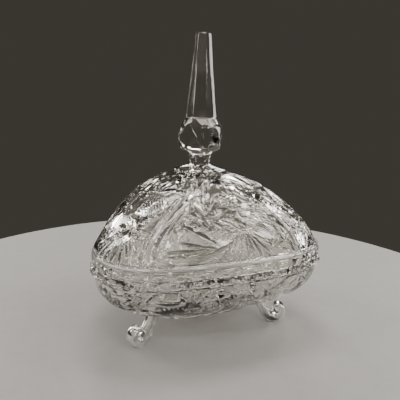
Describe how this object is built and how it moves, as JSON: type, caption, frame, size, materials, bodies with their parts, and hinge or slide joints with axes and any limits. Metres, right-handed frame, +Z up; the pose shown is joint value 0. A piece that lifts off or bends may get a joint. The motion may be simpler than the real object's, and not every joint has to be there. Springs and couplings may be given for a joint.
{
  "type": "powder jar",
  "caption": "Clear cut-glass covered box, a rounded triangle in plan on scroll feet, with a domed lid lifted by a tall faceted spire finial.",
  "frame": {"origin": "on the upright axis through the spire, in the plane the feet stand on", "axes": "+Z up along the spire, +Y towards the back corner, +X towards the front right corner's side; one long side faces -Y"},
  "size_m": [0.1836, 0.1759, 0.2301],
  "materials": {
    "cut_crystal": "clear lead crystal, deeply cut and polished",
    "plain_crystal": "clear lead crystal, smooth or flat-faceted and polished"
  },
  "bodies": {
    "base": {"bowl": "cut_crystal", "foot_left": "plain_crystal", "foot_right": "plain_crystal", "foot_back": "plain_crystal"},
    "cover": {"lid": "cut_crystal", "finial": "plain_crystal"}
  },
  "joints": [
    {"name": "lid_lift", "type": "slide", "parent": "base", "child": "cover", "axis": [0, 0, 1], "range_m": [0, 0.12]}
  ]
}
